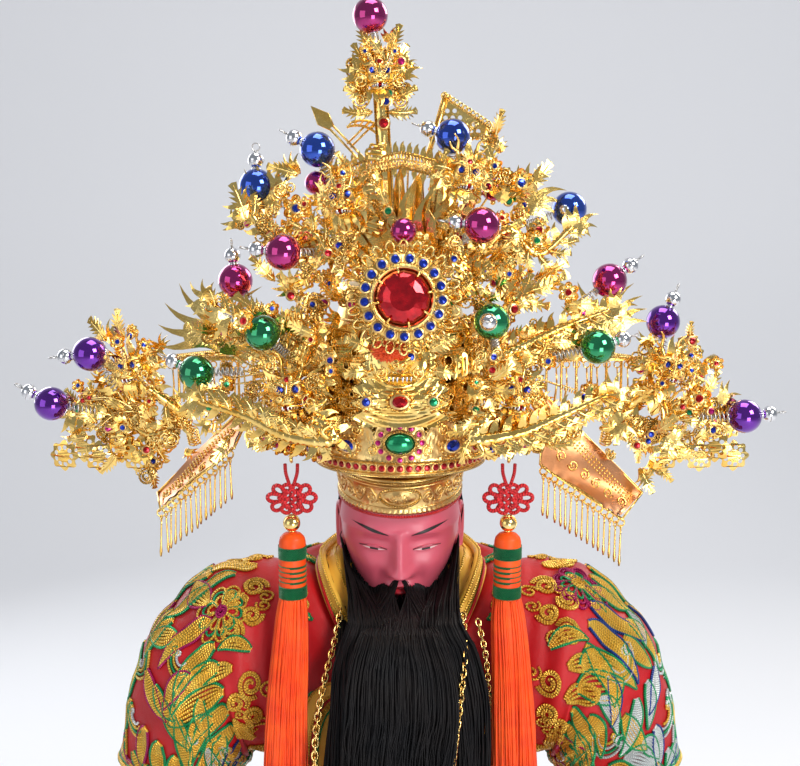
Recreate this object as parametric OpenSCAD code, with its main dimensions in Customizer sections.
// Rod puppet of a crowned court figure: a turned rod carries the carved head, a wooden trunk turns on the
// rod and carries two jointed arms under a stiff robe, and a sheet-metal crown lifts off the head.
// +Z is up, the figure faces -Y, and the origin is the centre of the rod's lower end. Millimetres.

/* [Rod] */
// Radius of the turned end that plugs into a stand
pin_r = 6; // [5:0.5:7]
// Length of that turned end
pin_len = 40; // [30:1:40]
// Radius of the slim shaft inside the trunk
shaft_r = 5; // [4:0.5:5.5]

/* [Head] */
// Height of the head from chin to skull top
head_h = 56; // [54:1:58]
// Forward tilt of the head, in degrees
head_tilt = 12; // [10:1:14]
// Height of the head's centre above the rod's lower end
head_z = 366; // [365:0.5:367]

/* [Trunk and arms] */
// Height of the shoulder pins
shoulder_z = 322; // [320:1:324]
// Half the distance between the middles of the arms' upper eyes
shoulder_x = 40; // [40:0.5:41]
// Radius of the shoulder pins
shoulder_pin_r = 2.5; // [2:0.1:2.8]
// Radius of the elbow pins
elbow_pin_r = 1.6; // [1.4:0.1:1.8]

/* [Robe] */
// Thickness of the lined robe
cloth_t = 1.6; // [1.2:0.1:1.8]
// Height of the hem
hem_z = 76; // [72:1:84]
// Radius of the sleeve where it meets the robe
armhole_r = 31; // [30:0.5:31]

/* [Crown] */
// Outer radius of the crown's cap
cap_r = 25.3; // [25.2:0.1:25.5]
// Height of the crown's rim
rim_z = 389; // [389:0.25:390]
// Thickness of the stamped sheet
sheet_t = 0.6; // [0.5:0.1:0.8]
// Radius of the large glass balls
ball_r = 5.4; // [5:0.1:5.6]
// Radius of the silver beads
bead_r = 2.5; // [2.2:0.1:2.7]

/* [Tassels] */
// Length of a tassel's loose threads
skirt_len = 64; // [56:1:66]
// Radius of a tassel's bound head
tassel_r = 4.2; // [3.8:0.1:4.4]

/* [Hidden] */
$fn = 48;
gap = 0.3;                         // air between pieces that move past each other
run = 0.08;                        // radial clearance of a pin in its bore
crown_y = -3;                      // the crown's axis stands this far forward of the rod
shaft_top = 356;                   // upper end of the slim shaft, inside the head
collar_z = 168;                    // lower face of the stop collar
trunk_z0 = 174.3;                   // lower face of the trunk
S = [shoulder_x, 0, shoulder_z];   // right shoulder, at +X
E = [72, -8, 272];                 // right elbow
H = [44, -60, 256];                // right wrist
upper_dir = (E - S) / norm(E - S);
fore_dir = (H - E) / norm(H - E);
elbow_axis = cross(upper_dir, fore_dir) / norm(cross(upper_dir, fore_dir));
red = "#b0141c";
gold = "#d9a93c";
wood = "#a9713f";
skin = "#c4455a";
tassel_top = [33, -26, 392];       // where the right tassel's cord leaves the crown

// ---------- helpers ----------

// Turns +Z to the direction v
module aim(v) rotate([0, acos(v[2] / norm(v)), atan2(v[1], v[0])]) children();

// A round bar from a to b
module bar(a, b, r) translate(a) aim(b - a) cylinder(h = norm(b - a), r = r);

// The same piece on the left side
module left() mirror([1, 0, 0]) children();

// The frame that tilts with the head
module head_frame() translate([0, 0, head_z]) rotate([head_tilt, 0, 0]) children();

// A flat sheet standing in the XZ plane, its outline drawn as X and Z, its middle at depth y
module upright(y, t = sheet_t) translate([0, y + t / 2, 0]) rotate([90, 0, 0]) linear_extrude(t) children();

// Faces of the wall between rings first and second of n points each
function wall(first, second, n, flip = false) = [
  for (j = [0 : n - 1])
    let (k = (j + 1) % n)
      flip ? [first + j, second + j, second + k, first + k] : [first + j, first + k, second + k, second + j]
];

// A closed solid through a stack of rings
module loft(rings) {
  n = len(rings[0]);
  m = len(rings);
  polyhedron(
    points = [for (r = rings) each r],
    faces = concat(
      [[for (j = [0 : n - 1]) j]],
      [for (i = [0 : m - 2]) each wall(i * n, (i + 1) * n, n, true)],
      [[for (j = [n - 1 : -1 : 0]) (m - 1) * n + j]]
    ),
    convexity = 6
  );
}

// A wall between an outer and an inner stack of rings, open at both ends
module shell(outer, inner) {
  n = len(outer[0]);
  m = len(outer);
  polyhedron(
    points = concat([for (r = outer) each r], [for (r = inner) each r]),
    faces = concat(
      [for (i = [0 : m - 2]) each wall(i * n, (i + 1) * n, n, true)],
      [for (i = [0 : m - 2]) each wall((m + i) * n, (m + i + 1) * n, n)],
      wall(0, m * n, n),
      wall((m - 1) * n, (2 * m - 1) * n, n, true)
    ),
    convexity = 8
  );
}

// A ring round the body: half width a, front depth f, back depth b, and its height at side, front and back
function body_ring(a, f, b, zs, zf, zb, n = 32) = [
  for (j = [0 : n - 1])
    let (t = 360 * j / n, s = sin(t))
      [a * cos(t), (s < 0 ? f : b) * s, zs + (s < 0 ? zf - zs : zb - zs) * s * s]
];

// A ring about centre c, square to direction d: ra upwards and rb sideways
function tube_ring(c, d, ra, rb, n = 24) =
  let (q = d / norm(d), e = cross(q, [0, 0, 1]), e2 = e / norm(e), e1 = cross(e2, q))
    [for (j = [0 : n - 1]) c + ra * cos(360 * j / n) * e1 + rb * sin(360 * j / n) * e2];

// ---------- rod, trunk and arms ----------

module central_rod() color(wood) difference() {
  rotate([0, 0, 90]) rotate_extrude() polygon([
    [0, 0], [pin_r, 0], [pin_r, pin_len], [10, pin_len], [10, pin_len + 4], [8, pin_len + 7],
    [9.5, 62], [11, 84], [10.5, 106], [8.5, 126], [8, 140], [10, 143], [10, 147], [7, 150], [7, collar_z],
    [shaft_r, collar_z], [shaft_r, shaft_top], [0, shaft_top]
  ]);
  translate([-20, 0, collar_z + 3]) rotate([0, 90, 0]) cylinder(h = 40, r = 1.2);
}

module stop_collar() color(wood) difference() {
  translate([0, 0, collar_z]) cylinder(h = 6, r = 13);
  translate([0, 0, collar_z - 1]) cylinder(h = 9, r = shaft_r);
  translate([-20, 0, collar_z + 3]) rotate([0, 90, 0]) cylinder(h = 40, r = 1.2);
}

module stop_pin() color("silver")
  translate([-13, 0, collar_z + 3]) rotate([0, 90, 0]) cylinder(h = 26, r = 1.2);

module torso() color(wood) difference() {
  union() {
    hull() {
      translate([-35, 0, shoulder_z]) rotate([0, 90, 0]) cylinder(h = 70, r = 9, $fn = 32);
      translate([0, 0, 282]) cylinder(h = 8, r = 20, $fn = 32);
    }
    hull() {
      translate([0, 0, 282]) cylinder(h = 6, r = 20, $fn = 32);
      translate([0, 0, 232]) cylinder(h = 8, r = 15, $fn = 32);
    }
    translate([0, 0, trunk_z0]) cylinder(h = 58, r1 = 11, r2 = 15);
  }
  translate([0, 0, trunk_z0 - 5]) cylinder(h = 170, r = shaft_r + run);
  for (s = [-1, 1]) translate([s * 22, 0, shoulder_z]) rotate([0, 90 * s, 0]) cylinder(h = 20, r = shoulder_pin_r);
}

module shoulder_pins() color("silver") for (s = [-1, 1])
  translate([s * 22, 0, shoulder_z]) rotate([0, 90 * s, 0]) {
    cylinder(h = 22.6, r = shoulder_pin_r);
    translate([0, 0, 22.6]) cylinder(h = 1.4, r = 4.2);
  }

// Upper arm: an eye on the shoulder pin, a tapered limb and a forked elbow
module upper_arm() color(wood) difference() {
  union() {
    translate([36, 0, shoulder_z]) rotate([0, 90, 0]) cylinder(h = 8, r = 7.5);
    bar([41, -0.4, 318], E - 9 * upper_dir, 4.6);
    translate(E) aim(elbow_axis) for (k = [-1, 1]) translate([0, 0, k * 4.4 - 1.5]) cylinder(h = 3, r = 5);
    for (k = [-1, 1]) bar(E - 11 * upper_dir + k * 4.4 * elbow_axis, E + k * 4.4 * elbow_axis, 1.5);
    translate(E - 10 * upper_dir) aim(elbow_axis) translate([0, 0, -5.9]) cylinder(h = 11.8, r = 3.4);
  }
  translate([30, 0, shoulder_z]) rotate([0, 90, 0]) cylinder(h = 20, r = shoulder_pin_r + run);
  translate([44.25, 0, shoulder_z]) rotate([0, 90, 0]) cylinder(h = 6, r = 4.6);
  translate(E) aim(elbow_axis) translate([0, 0, -9]) cylinder(h = 18, r = elbow_pin_r);
}

module elbow_pin() color("silver")
  translate(E) aim(elbow_axis) translate([0, 0, -6.5]) cylinder(h = 13, r = elbow_pin_r);

// Forearm with the carved hand at its end and a wire stirrup under it for the control rod
module forearm() color(skin) difference() {
  union() {
    translate(E) aim(elbow_axis) translate([0, 0, -2.5]) cylinder(h = 5, r = 4.4);
    bar(E + 3 * fore_dir, H, 2.4);
    bar(E + 12 * fore_dir, H + 1.2 * fore_dir, 3.9);
    hand();
    for (k = [-1, 1]) bar(rod_top + [k * 4.2, 0, 0], H + 9 * fore_dir + [k * 3.5, -1.9 * k, 0], 0.95);
    translate(rod_top - [4.9, 0, 0]) rotate([0, 90, 0]) cylinder(h = 9.8, r = 0.8);
  }
  translate(E) aim(elbow_axis) translate([0, 0, -9]) cylinder(h = 18, r = elbow_pin_r + run);
}

// A half-closed hand: palm, four fingers and a thumb
module hand() translate(H) aim(fore_dir) {
  hull() {
    translate([0, 0, 1]) cube([6, 8, 2], center = true);
    translate([0, 0, 11]) cube([4.6, 12, 2], center = true);
  }
  for (k = [0 : 3]) translate([0.1, -4.5 + 3.02 * k, 10.6]) rotate([0, 28, 0]) cylinder(h = 10.4, r = 1.4);
  translate([0.5, -4.5, 4]) rotate([38, 10, 0]) cylinder(h = 10, r = 1.7);
}

// Control rod that hangs from the stirrup, with a turned grip at its foot
rod_top = H + 15 * fore_dir + [1, 1.9, -7.9];
module hand_rod() color("#6b4526") translate([rod_top[0], rod_top[1], 0]) difference() {
  union() {
    translate([0, 0, 30]) cylinder(h = rod_top[2] - 30, r = 1.8);
    translate([0, 0, 12]) rotate_extrude() polygon([[0, 0], [3, 0], [4, 4], [3.4, 20], [4, 40], [2.4, 46], [0, 46]]);
    translate([-2.2, 0, rod_top[2]]) rotate([0, 90, 0]) cylinder(h = 4.4, r = 2.6);
  }
  translate([-6, 0, rod_top[2]]) rotate([0, 90, 0]) cylinder(h = 12, r = 0.8 + run);
}

// ---------- head and hair ----------

// The carved head with its neck, ears, nose and the knob that the crown sits on
module head() color(skin) difference() {
  union() {
    head_frame() {
      hull() {
        for (s = [-1, 1]) translate([s * 1.6, 1, 4]) sphere(r = 17.4, $fn = 32);
        translate([0, -8, 2]) sphere(r = 13.5, $fn = 32);
        translate([0, -10.5, -15]) sphere(r = 9.5, $fn = 32);
        translate([0, -14, -23]) sphere(r = 5, $fn = 24);
      }
      hull() {
        translate([0, -21, -1]) sphere(r = 1.6, $fn = 16);
        translate([0, -24, -10]) sphere(r = 2.6, $fn = 16);
        translate([0, -19, -10]) sphere(r = 3.6, $fn = 16);
      }
      translate([0, 0, 12]) cylinder(h = 20, r = 18.2);
      for (s = [-1, 1]) hull() {
        translate([s * 18.8, 3, 4]) sphere(r = 2.6, $fn = 16);
        translate([s * 17.6, 1, -10]) sphere(r = 2, $fn = 16);
      }
    }
    translate([0, 2, 338]) cylinder(h = 22, r = 9);
  }
  translate([0, 0, 330]) cylinder(h = shaft_top - 330, r = shaft_r);
}

// Gilded band round the brow, flared towards the crown
module forehead_band() color(gold) head_frame() rotate_extrude() polygon([
  [18.2, 13], [19.4, 13], [19.9, 13.8], [19.6, 15], [20.3, 22], [21.2, 25.4], [20.6, 26], [18.2, 26]
]);

// Centre height, centre depth, half width and half depth of each level of the long beard
beard_rings = [
  [343, -28, 15, 5], [336, -33, 18, 6], [330, -38, 20, 5.5], [321, -42, 22, 5.2], [300, -43, 24, 6],
  [280, -44, 21, 6], [258, -45, 14, 5], [240, -45.5, 6, 3]
];

module beard() color("#141414") loft([
  for (r = beard_rings) [for (j = [0 : 23]) [r[2] * cos(15 * j), r[1] + r[3] * sin(15 * j), r[0]]]
]);

// Height, offset to the side, depth, half width and half depth of each level of a moustache lock
moustache_rings = [
  [349, 5, -27.6, 3, 2], [343, 8, -35.6, 4.6, 2.2], [336, 9.5, -42, 6, 2.4], [321, 10.5, -50.6, 7, 2.8],
  [300, 10, -52.4, 6.6, 2.6], [280, 9, -53.2, 5.4, 2.4], [262, 7.5, -53, 3, 1.4]
];

module moustache() color("#141414") for (s = [-1, 1]) loft([
  for (r = moustache_rings) [for (j = [0 : 15]) [s * (r[1] + s * r[3] * cos(22.5 * j)), r[2] + r[4] * sin(22.5 * j), r[0]]]
]);

// ---------- robe ----------

// Half width, front and back depth, and the height at side, front and back, from the hem up
robe_rings = [
  [62, 50, 46, hem_z, hem_z, hem_z], [57, 46, 43, 110, 110, 110], [50, 39, 37, 160, 160, 160],
  [43, 33, 31, 205, 205, 205], [38, 29, 27, 235, 235, 235], [41, 30, 28, 262, 260, 262],
  [45, 31.5, 30, 290, 284, 290], [46.2, 32, 32, 322, 304, 322], [46, 31.6, 31.5, 340, 315, 338],
  [41, 30.6, 29, 351, 321, 350], [33, 29.4, 25, 353, 324, 357], [26.5, 28.4, 21, 350, 325.5, 359]
];

function thinned(r, i) = let (up = i > 7 ? cloth_t : 0, in = i > 8 ? 0.9 : cloth_t)
  [r[0] - in, r[1] - cloth_t, r[2] - in, r[3] - up, r[4], r[5] - up];

module robe() color(red) difference() {
  shell(
    [for (r = robe_rings) body_ring(r[0], r[1], r[2], r[3], r[4], r[5])],
    [for (i = [0 : len(robe_rings) - 1]) let (r = thinned(robe_rings[i], i)) body_ring(r[0], r[1], r[2], r[3], r[4], r[5])]
  );
  for (s = [-1, 1]) translate([s * 30, 0, shoulder_z]) rotate([0, 90 * s, 0]) cylinder(h = 30, r = armhole_r - 4);
}

module collar() color("#c8962a") shell(
  [body_ring(27.5, 34, 23.4, 352.5, 321, 359.8), body_ring(26.6, 32.4, 22.8, 355, 327, 361.6), body_ring(24.8, 29.4, 22, 357, 330, 363)],
  [body_ring(25.8, 32.4, 21.8, 352.5, 321, 359.8), body_ring(25, 31, 21.4, 355, 327, 361.6), body_ring(23.6, 28.2, 20.8, 357, 330, 363)]
);

module belt() color(gold) {
  shell([for (z = [229, 241]) body_ring(41, 31.9, 29.9, z, z, z)], [for (z = [229, 241]) body_ring(39.5, 30.4, 28.4, z, z, z)]);
  for (a = [-150 : 30 : 150])
    translate([41 * sin(a), (abs(a) > 90 ? -29.9 : -31.9) * cos(a), 235]) rotate([0, 0, atan2(sin(a) * 31, cos(a) * 41)])
      cube([9, 1.8, 9], center = true);
  translate([0, -32.2, 235]) cube([15, 2.4, 12], center = true);
}

module sleeve_upper() color(red) {
  path = [
    [[47.2, 0, shoulder_z], [1, 0, 0], armhole_r, armhole_r], [[57, -1, 319], [0.96, -0.06, -0.27], 29.6, 30],
    [[65.5, -3, 310], [0.82, -0.1, -0.56], 26.6, 27.4], [[70.5, -5, 298], [0.64, -0.12, -0.76], 22.6, 24],
    [[73, -7, 283], [0.5, -0.13, -0.86], 19, 19.5]
  ];
  shell(
    [for (p = path) tube_ring(p[0], p[1], p[2], p[3])],
    [for (p = path) tube_ring(p[0], p[1], p[2] - cloth_t, p[3] - cloth_t)]
  );
}

module sleeve_lower() color(red) {
  path = [
    [E + 24 * fore_dir, fore_dir, 16, 16], [E + 34 * fore_dir + [0, 0, -1], fore_dir, 20, 18.5],
    [E + 46 * fore_dir + [0, 0, -3], fore_dir, 24, 18.5], [E + 58 * fore_dir + [0, 0, -7], fore_dir, 29, 18],
    [E + 62 * fore_dir + [0, 0, -8.5], fore_dir, 31, 18]
  ];
  shell(
    [for (p = path) tube_ring(p[0], p[1], p[2], p[3])],
    [for (p = path) tube_ring(p[0], p[1], p[2] - cloth_t, p[3] - cloth_t)]
  );
}

// ---------- crown, fixed parts ----------

module crown_frame() translate([0, crown_y, rim_z]) children();

// Cap: a tall drilled tube that tapers in, with a ledge that rests on the head's knob
module crown_cap() color(gold) crown_frame() difference() {
  rotate_extrude() polygon([
    [cap_r - 0.9, 0], [cap_r, 0], [cap_r, 34], [20, 46], [17, 56], [0, 60], [0, 59], [16.3, 55.2], [19.3, 45.4],
    [cap_r - 0.9, 33.6], [cap_r - 0.9, 15], [0, 15], [0, 14], [cap_r - 0.9, 14]
  ]);
  for (a = [35 : 12 : 83], z = [20 : 4 : 28], s = [-1, 1])
    translate([0, 0, z]) rotate([0, 0, s * a]) rotate([90, 0, 0]) translate([0, 0, 15]) cylinder(h = 15, r = 0.8, $fn = 16);
}

module rim_band() color(gold) crown_frame() rotate_extrude() polygon([
  [cap_r, -0.4], [cap_r + 1.7, -0.4], [cap_r + 1.7, 0.5], [cap_r + 0.9, 0.9], [cap_r + 0.9, 3.5], [cap_r + 1.5, 4], [cap_r + 1.5, 4.6], [cap_r, 4.6]
]);

module rim_stones() color("#a01020") crown_frame() for (k = [0 : 59])
  rotate([0, 0, 6 * k]) translate([0, -cap_r - 0.9, 2.2]) rotate([90, 0, 0]) cylinder(h = 1, r1 = 1.2, r2 = 0.7, $fn = 16);

// Curved front plate with a scalloped upper edge
module front_diadem() color(gold) crown_frame() intersection() {
  difference() {
    cylinder(h = 24, r = cap_r + 2.7);
    translate([0, 0, -1]) cylinder(h = 26, r = cap_r + 1.9);
  }
  translate([0, -1, 4.8]) rotate([90, 0, 0]) linear_extrude(40) union() {
    translate([-28, 0]) square([56, 7]);
    translate([0, 7]) circle(r = 7.4);
    for (s = [-1, 1]) {
      translate([s * 13, 6]) circle(r = 5.6);
      translate([s * 22.5, 5]) circle(r = 4.6);
    }
  }
}

// A flat-backed oval stone cut in two steps, w wide, h high and d deep, facing -Y
module oval(w, h, d) rotate([90, 0, 0]) {
  linear_extrude(d * 0.6) scale([1, h / w]) circle(d = w, $fn = 32);
  linear_extrude(d) scale([1, h / w]) circle(d = w * 0.66, $fn = 32);
}

// Stones set on the front plate: a large oval with a ring of small ones, and ovals at the sides
module diadem_gems() color("#1c7c4c") crown_frame() {
  r = cap_r + 2.72;
  translate([0, -r, 10.4]) oval(8.4, 6.2, 2.2);
  for (k = [0 : 11]) rotate([0, 0, 12.4 * cos(30 * k)]) translate([0, -r, 10.4 + 5 * sin(30 * k)])
    rotate([90, 0, 0]) cylinder(h = 1.1, r1 = 1.1, r2 = 0.7, $fn = 16);
  for (s = [-1, 1]) rotate([0, 0, s * 34]) {
    translate([0, -r, 8.6]) oval(6, 4.4, 1.8);
    rotate([0, 0, s * 19]) translate([0, -r, 8]) oval(5, 5.6, 1.8);
  }
}

// Front ornament: a stylised guardian face on a shield-shaped plate
module guardian_mask() color(gold) translate([0, -34, 408]) {
  upright(0, 1) union() {
    translate([-9, 0]) square([18, 18]);
    translate([0, 3]) circle(r = 11);
    translate([0, 18]) circle(r = 9);
  }
  for (s = [-1, 1]) translate([s * 10, 0, 3]) rotate([90, 0, 0]) cylinder(h = 2.2, r = 5);
  translate([0, -0.5, 17]) sphere(r = 6, $fn = 32);
  translate([0, -5.5, 14.6]) sphere(r = 2.6, $fn = 24);
  for (s = [-1, 1]) translate([s * 3, -4, 18.6]) sphere(r = 1.6, $fn = 20);
  translate([0, -0.5, 4]) rotate([90, 0, 0]) cylinder(h = 2.6, r1 = 8, r2 = 5);
  for (s = [-1, 1]) bar([s * 6, 0.4, 6], [s * 9, 4.6, 2], 1);
}

medallion = [1, -40, 444];

module medallion_plate() color(gold) translate(medallion) {
  rotate([90, 0, 0]) cylinder(h = 1.4, r = 12.6);
  upright(-0.1, 0.6) difference() {
    union() {
      circle(r = 12.8);
      for (k = [0 : 19]) rotate(18 * k) translate([14.2, 0]) circle(r = 2.25, $fn = 24);
    }
    for (k = [0 : 19]) rotate(18 * k) translate([14.5, 0]) circle(r = 1.3, $fn = 24);
  }
  translate([0, -1.4, 0]) rotate([90, 0, 0]) difference() {
    cylinder(h = 1.6, r = 9.4);
    translate([0, 0, -1]) cylinder(h = 4, r = 8);
  }
  bar([0, 0, 0], [-1, 13.6, -6], 1.1);
}

module medallion_gem() color("#c01018") translate(medallion + [0, -1.4, 0]) rotate([90, 0, 0]) rotate_extrude()
  polygon([[0, 0], [8, 0], [8, 1.2], [5.2, 3.4], [0, 3.8]]);

module medallion_stones() color("#1830a0") translate(medallion + [0, -1.4, 0]) for (k = [0 : 16])
  rotate([0, 360 / 17 * k + 10, 0]) translate([0, 0, 11.1]) rotate([90, 0, 0]) cylinder(h = 1.3, r1 = 1.55, r2 = 0.9, $fn = 20);

// One tongue of flame: length l, width w, leaning by a
module tongue(l, w, a) rotate(a) polygon([
  [w * 0.5, -0.3], [w * 0.42 + l * 0.09, l * 0.3], [w * 0.2 + l * 0.1, l * 0.65], [l * 0.04, l],
  [-w * 0.1 + l * 0.04, l * 0.65], [-w * 0.3 + l * 0.03, l * 0.3], [-w * 0.5, -0.3]
]);

// Tall openwork screen of flames behind the medallion
module flame_screen() color(gold) upright(-8, sheet_t) difference() {
  translate([0, 448.4]) union() {
    for (k = [-3 : 3]) translate([k * 3.4, 1]) tongue(38 - 2.6 * abs(k), 8, -k * 7);
    translate([-14, 0]) square([28, 6]);
    translate([0, 31]) difference() {
      circle(r = 11);
      circle(r = 7);
      translate([-12, -14]) square([24, 14]);
    }
    translate([-14.4, 30]) square([28.8, 3.4]);
  }
  for (k = [-4 : 4]) translate([k * 3, 476.6 - 0.3 * abs(k)]) circle(r = 0.8, $fn = 16);
}

// Ceremonial halberd, leaning to the left and carried on a stub behind the flames
module halberd() color(gold) {
  translate([-5, 0, 476]) upright(0, 0.8) rotate(44) union() {
    translate([-0.9, 0]) square([1.8, 25]);
    translate([0, 24]) polygon([[-0.9, 0], [-2.3, 3], [0, 8.4], [2.3, 3], [0.9, 0]]);
    for (z = [8, 15]) translate([0, z]) square([10.4, 1.4]);
    difference() {
      translate([2, 12]) circle(r = 9.4);
      translate([-2, 12]) circle(r = 11);
      translate([-16, 0]) square([17, 30]);
    }
  }
  translate([-9, 0, 480]) rotate([90, 0, 0]) cylinder(h = 7.6, r = 0.8);
}

// Pennant on a slanting pole
module pennant() color(gold) {
  translate([6, 0, 476]) upright(0, 0.8) difference() {
    union() {
      rotate(-18) translate([-0.9, 0]) square([1.8, 27]);
      polygon([[3.4, 13], [7, 26], [22, 16.6], [20.6, 13.8]]);
      for (k = [0 : 5]) translate([9.6 + 2.1 * k, 24 - 1.4 * k]) circle(r = 1.3, $fn = 16);
    }
    for (k = [0 : 3]) translate([9 + 2.6 * k, 19 - 0.7 * k]) circle(r = 0.9, $fn = 16);
  }
  translate([7.4, 0, 480]) rotate([90, 0, 0]) cylinder(h = 7.6, r = 0.8);
}

// Thin canopy behind the crown with drops at both ends
module rear_canopy() color(gold) {
  translate([0, 0, 417]) linear_extrude(0.8) difference() {
    intersection() {
      translate([0, -50]) circle(r = 104);
      translate([-79, 18]) square([158, 40]);
    }
    translate([0, crown_y]) circle(r = cap_r + 0.2);
    for (k = [-11 : 11]) translate([6 * k, 25]) circle(r = 0.9, $fn = 16);
  }
  for (s = [-1, 1], k = [0 : 5]) translate([s * (74 - 5 * k), 19, 403]) cylinder(h = 14.2, r = 0.45, $fn = 16);
}

// Long side flap that slants down and out from the crown
wing_a = [47, 4, 408];
wing_d = [1, 0, -1] / norm([1, 0, -1]);
wing_edge = [[13.4, 19], [46.4, 12]];  // distance along the slant and width at the two ends of the lower edge
right_lean = 31;
left_lean = 72;

// A point of the flap that leans forward by a
function flap(q, a) = wing_a + q[0] * wing_d + q[1] * (cos(a) * [-0.7071, 0, -0.7071] + sin(a) * [0, -1, 0]);

module wing_plate(a) color(gold) {
  translate(wing_a) rotate([0, 45, 0]) rotate([-a, 0, 0]) difference() {
    union() {
      rotate([90, 0, 0]) translate([0, 0, -0.3]) linear_extrude(sheet_t)
        polygon([[0, 0], [44.6, 0], [wing_edge[1][0], -wing_edge[1][1]], [wing_edge[0][0], -wing_edge[0][1]]]);
      translate([0, -1.6, -0.3]) cube([44.6, 1.9, sheet_t]);
    }
    for (k = [1 : 10], j = [0 : 1]) translate([8 + 3.4 * k, 2, -3.4 - 2.2 * j]) rotate([90, 0, 0]) cylinder(h = 4, r = 0.5, $fn = 16);
  }
  bar(wing_a + [0.4, 0, 0], [24.6, 4, 412], 0.8);
}

// Five-petalled flower with a stone, facing -Y
module blossom(p, r = 4) translate(p) {
  upright(0, 0.8) union() for (k = [0 : 4]) rotate(72 * k) translate([r * 0.6, 0]) circle(r = r * 0.42, $fn = 24);
  rotate([90, 0, 0]) cylinder(h = 1.8, r1 = r * 0.4, r2 = r * 0.25, $fn = 20);
}

module side_blossoms() color(gold) for (s = [-1, 1]) {
  for (k = [0 : 4]) blossom([s * (29 + 2.6 * k), -20 - 2 * (k % 2), 396 + 1.2 * k + 3 * (k % 2)], 3.6);
  bar([s * 25, -19.1, 396.6], [s * 42, -19.1, 401], 0.8);
  bar([s * 33, -26, 393.2], [s * 33, -18.8, 397], 0.6);
}

// ---------- crown, sprung clusters ----------

// A dragon's head in sheet and wire, facing -Y: face, muzzle, horns, ears and a bearded jaw
module dragon_head(p, k = 1) translate(p) scale(k) rotate([90, 0, 0]) {
  translate([0, 0, -3.5]) cylinder(h = 6.5, r1 = 4.2, r2 = 5);
  translate([0, 0, 2.9]) cylinder(h = 1.6, r1 = 4.6, r2 = 3.4);
  translate([0, -2.2, 0.4]) cylinder(h = 6.8, r1 = 3, r2 = 2.2);
  for (s = [-1, 1]) {
    translate([s * 2.5, 1.7, 1.2]) cylinder(h = 4.1, r = 1.3);
    translate([s * 5.5, 3.2, 0.3]) cylinder(h = 1, r = 2.1);
    translate([s * 2.7, 3.2, 1]) rotate([-82, s * 5, 0]) cylinder(h = 9.5, r = 0.6);
  }
  translate([0, 0, -1.1]) linear_extrude(0.6) union() {
    circle(r = 4.9);
    for (a = [125, 145, 165, 195, 215, 235]) tongue(11, 4, a);
  }
}

// Point i of 16 along a dragon's body that winds from a to b
function spine(a, b, sway, i) =
  let (d = [b[0] - a[0], b[2] - a[2]], l = norm(d), u = l * i / 16, v = sway * sin(22.5 * i))
    [a[0] + (d[0] * u - d[1] * v) / l, a[1], a[2] + (d[1] * u + d[0] * v) / l];

// A dragon's body as a stamped outline that winds from a to b, with fins along it
module dragon_outline(a, b, sway, w) {
  d = [b[0] - a[0], b[2] - a[2]];
  l = norm(d);
  mid = [for (i = [0 : 16]) [l * i / 16, sway * sin(22.5 * i)]];
  translate([a[0], a[2]]) rotate(atan2(d[1], d[0])) {
    polygon(concat(
      [for (i = [0 : 16]) mid[i] + [0, w * (0.5 - 0.015 * i)]],
      [for (i = [16 : -1 : 0]) mid[i] - [0, w * (0.5 - 0.015 * i)]]
    ));
    for (i = [1 : 2 : 15]) translate(mid[i]) tongue(w * 1.5, w * 0.7, 25 - 3 * i);
    for (i = [2, 7, 12]) translate(mid[i]) tongue(w * 1.5, w * 0.7, 160);
  }
}

module dragon_body(a, b, sway, w) upright(a[1], 1) union() {
  dragon_outline(a, b, sway, w);
}

// A turn about Z that lies far from both directions a and b
function clear_of(a, b) = let (m = atan2(a[1], a[0]), n = atan2(b[1], b[0])) (m + n) / 2 + (abs(m - n) < 180 ? 180 : 0);

// A glass ball with a silver bead and a wire eye beyond it, on a stem that starts beside the hub
module bobble(hub, p, away, r = ball_r) {
  q = away / norm(away);
  u = (p - hub) / norm(p - hub);
  translate(p) rotate([0, 0, clear_of(q, -u)]) sphere(r = r, $fn = 40);
  translate(p + (r + bead_r - 0.4) * q) rotate([0, 0, clear_of(q, -q) + 90]) sphere(r = bead_r, $fn = 28);
  translate(p + (r + 2 * bead_r + 0.8) * q) rotate([90, 0, 0]) rotate_extrude($fn = 24) translate([1.3, 0]) circle(r = 0.3, $fn = 16);
  bar(hub + 1.9 * u, p, 0.5);
}

// Where each sprung stem leaves the crown, and the knob that its wires spread from
upper_root = [12, -11, 446.4];
upper_hub = [14, -13, 455];
lower_root = [23, -16, 420];
lower_hub = [30, -18, 420];
wing_root = [66.6, 2.4, 392.2];
wing_hub = [67, -1, 398];
mast_root = [-3, -4, 450];

// The stem and its knob
module stem(root, hub) {
  bar(root, hub, 0.8);
  translate(hub) sphere(r = 1.7, $fn = 24);
}

module finial_mast() color(gold) {
  bar(mast_root, [-3.2, -4, 456], 1);
  translate([-3.2, -4.4, 454]) rotate([0, -3.2, 0]) translate([-2.2, 0, 0]) cube([4.4, 0.8, 62]);
  dragon_head([-6.4, -6.4, 508], 0.95);
}

module finial_ball() color("#8a1050") bobble([-7, -4.4, 515.6], [-9, -5, 526], [-0.2, 0, 1]);

module upper_dragon_left() color(gold) {
  left() stem(upper_root, upper_hub);
  dragon_head([-16.5, -21, 471]);
  dragon_body([-18, -17, 455], [-46, -17, 467], 3, 5);
  bar([-14, -13, 455], [-16.5, -20, 470], 0.8);
  bar([-14, -13, 455], spine([-18, -17, 455], [-46, -17, 467], 3, 2), 0.8);
}

module upper_dragon_right() color(gold) {
  stem(upper_root, upper_hub);
  dragon_head([19, -21, 478]);
  dragon_body([20, -17, 452], [52, -17, 462], 3, 5);
  bar(upper_hub, [19, -20, 477], 0.8);
  bar(upper_hub, spine([20, -17, 452], [52, -17, 462], 3, 2), 0.8);
}

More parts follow.
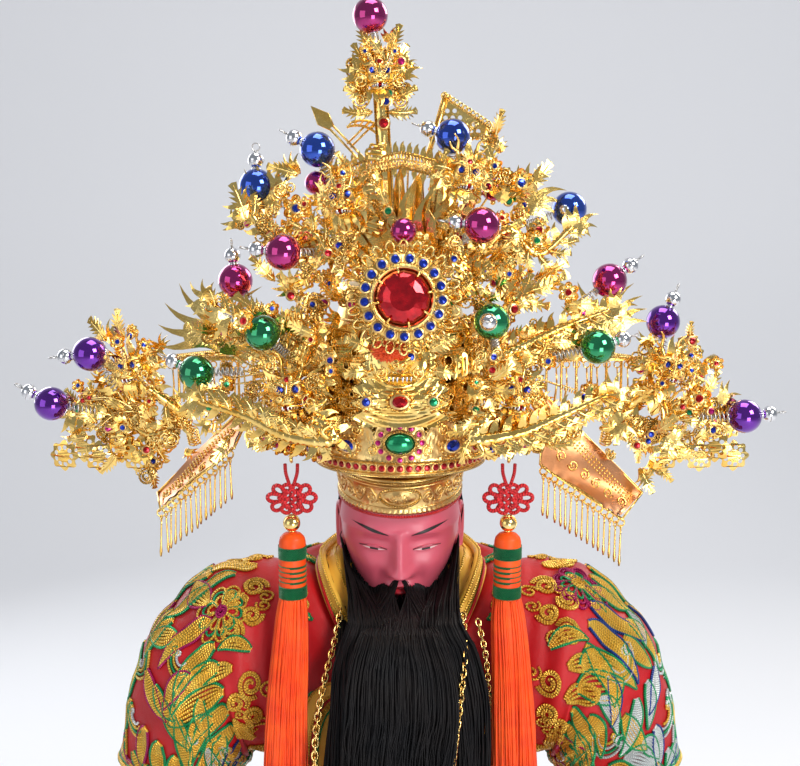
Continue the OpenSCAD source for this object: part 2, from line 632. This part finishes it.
module upper_balls_left() color("#1838a0") {
  hub = [-14, -13, 455];
  bobble(hub, [-25, -11, 486], [-1, 0, 0.5]);
  bobble(hub, [-44, -8, 475], [0, 0, 1]);
  bobble(hub + [0, -4, 1.5], [-34.5, -26, 456], [-1, 0, 0.1]);
}

module upper_balls_right() color("#1838a0") {
  bobble(upper_hub, [16, -9, 490], [-1, 0, 0.3]);
  bobble(upper_hub, [52, -8, 468], [0.4, 0.9, 0]);
  bobble(upper_hub, [24, -28, 464], [-1, 0, 0.1]);
}

module lower_dragon_left() color(gold) {
  left() stem(lower_root, lower_hub);
  dragon_head([-32, -28, 414], 1.1);
  dragon_body([-18, -33, 402], [-58, -33, 411], 3, 6);
  dragon_body([-34, -16, 426], [-60, -16, 440], 2, 5);
  bar([-30, -18, 420], [-32, -27, 415], 0.9);
  bar([-30, -18, 420], spine([-34, -16, 426], [-60, -16, 440], 2, 2), 0.9);
  bar([-32, -28, 412], spine([-18, -33, 402], [-58, -33, 411], 3, 8), 0.9);
}

module lower_dragon_right() color(gold) {
  stem(lower_root, lower_hub);
  dragon_head([34, -28, 414], 1.1);
  dragon_body([20, -33, 402], [60, -33, 414], 3, 6);
  dragon_body([34, -16, 426], [66, -16, 438], 2, 5);
  bar(lower_hub, [34, -27, 415], 0.9);
  bar(lower_hub, spine([34, -16, 426], [66, -16, 438], 2, 2), 0.9);
  bar([34, -28, 412], spine([20, -33, 402], [60, -33, 414], 3, 8), 0.9);
}

module lower_balls_left() color("#186838") {
  hub = [-30, -18, 420];
  bobble(hub, [-41, -26, 432], [-1, 0, 0.5]);
  bobble(hub, [-62, -20, 419], [-1, 0, 0.5]);
  bobble(hub + [0, 4, 1], [-51, -8, 446], [-0.1, 0, 1]);
}

module lower_balls_right() color("#186838") {
  bobble(lower_hub, [27, -31, 436], [-0.2, -1, 0.1]);
  bobble(lower_hub, [60, -20, 427], [1, 0, 0.3]);
  bobble(lower_hub + [0, 4, 1], [65, -8, 446], [0.8, 0, 0.6]);
}

module wing_dragon() color(gold) {
  stem(wing_root, wing_hub);
  dragon_head([84, -6, 418]);
  upright(-1, 1) union() {
    dragon_outline([66, -1, 398], [104, -1, 402], 3, 7);
    polygon([[82, 399], [86, 399], [93, 387], [91, 386]]);
    translate([92, 386]) circle(r = 4.4);
  }
  bar([85, -1, 400], [84.2, -5.4, 416.4], 0.8);
}

module wing_balls_left() color("#4a1478") {
  bobble([-84, -7.5, 402], [-97, -8, 423], [-1, 0, -0.1]);
  bobble([-84, -5, 402], [-110, -7, 407], [-0.9, 0, 0.5]);
}

module wing_balls_right() color("#4a1478") {
  bobble([84, 1.6, 402], [84, 2, 432], [0.4, 0, 1]);
  bobble([84, -5, 402], [109, -7, 403], [1, 0, 0.1]);
}

// ---------- hanging parts ----------

// Thin drops on a strip that hangs along the flap's lower edge
module fringe(a) color(gold) {
  p0 = flap(wing_edge[0], a) + [0, 0, -0.5];
  p1 = flap(wing_edge[1], a) + [0, 0, -0.5];
  d = (p1 - p0) / norm(p1 - p0);
  translate(p0) rotate([0, 0, atan2(d[1], d[0])]) rotate([0, asin(-d[2]), 0]) translate([0.4, -0.3, -1.8]) cube([norm(p1 - p0) - 0.8, 0.6, 1.4]);
  for (k = [0 : 9]) translate(p0 + (1.4 + 3.4 * k) * d + [0, 0, -14.5]) {
    cylinder(h = 13.4, r = 0.45, $fn = 16);
    rotate_extrude() polygon([[0, -1.4], [0.8, -0.6], [0.9, 0.4], [0, 2]]);
  }
}

// Cord, knot and gilt bead above a tassel, and the tassel's bound head
module tassel_cord() color("#c01828") translate(tassel_top) {
  for (s = [-1, 1]) bar([s * 1.8, 0, 0], [s * 0.8, 0, -8], 0.6);
  translate([0, 0, -11]) {
    rotate([0, 45, 0]) cube([6, 2.6, 6], center = true);
    for (a = [45, 105, 165, -45, -105, -165]) rotate([0, a, 0]) translate([0, 0, 4.6]) knot_loop();
  }
  translate([0, 0, -18.6]) sphere(r = 2.7, $fn = 32);
  translate([0, 0, -42]) cylinder(h = 21, r = tassel_r);
}

// One loop of the flat knot, sticking out from the knot's middle
module knot_loop() rotate([90, 0, 0]) translate([0, 0, -0.6]) linear_extrude(1.2) difference() {
  scale([0.7, 1]) circle(r = 3.4, $fn = 32);
  scale([0.6, 1]) circle(r = 2.2, $fn = 32);
}

module tassel_skirt() color("#f05a14") translate(tassel_top) loft([
  for (r = [
    [0, 0, -42.3, 4.4], [0.1, -2.5, -48, 5], [0.3, -7, -58, 5.4], [0.6, -10.5, -70, 5.8], [1, -12.5, -86, 6.2],
    [1.4, -13.4, -42.3 - skirt_len, 6.4]
  ]) [for (j = [0 : 19]) [r[0] + r[3] * cos(18 * j), r[1] + r[3] * 0.7 * sin(18 * j), r[2]]]
]);

// ---------- one line per node ----------

central_rod();
stop_collar();
stop_pin();
torso();
shoulder_pins();
head();
forehead_band();
beard();
moustache();
left() upper_arm();  // upper_arm_left
upper_arm();  // upper_arm_right
left() elbow_pin();  // elbow_pin_left
elbow_pin();  // elbow_pin_right
left() forearm();  // forearm_left
forearm();  // forearm_right
left() hand_rod();  // hand_rod_left
hand_rod();  // hand_rod_right
robe();
collar();
belt();
left() sleeve_upper();  // sleeve_upper_left
sleeve_upper();  // sleeve_upper_right
left() sleeve_lower();  // sleeve_lower_left
sleeve_lower();  // sleeve_lower_right
crown_cap();
rim_band();
rim_stones();
front_diadem();
diadem_gems();
guardian_mask();
medallion_plate();
medallion_gem();
medallion_stones();
flame_screen();
halberd();
pennant();
rear_canopy();
left() wing_plate(left_lean);  // wing_plate_left
wing_plate(right_lean);  // wing_plate_right
side_blossoms();
finial_mast();
finial_ball();
upper_dragon_left();
upper_dragon_right();
upper_balls_left();
upper_balls_right();
lower_dragon_left();
lower_dragon_right();
lower_balls_left();
lower_balls_right();
left() wing_dragon();  // wing_dragon_left
wing_dragon();  // wing_dragon_right
wing_balls_left();
wing_balls_right();
left() fringe(left_lean);  // fringe_left
fringe(right_lean);  // fringe_right
left() tassel_cord();  // tassel_cord_left
tassel_cord();  // tassel_cord_right
left() tassel_skirt();  // tassel_skirt_left
tassel_skirt();  // tassel_skirt_right
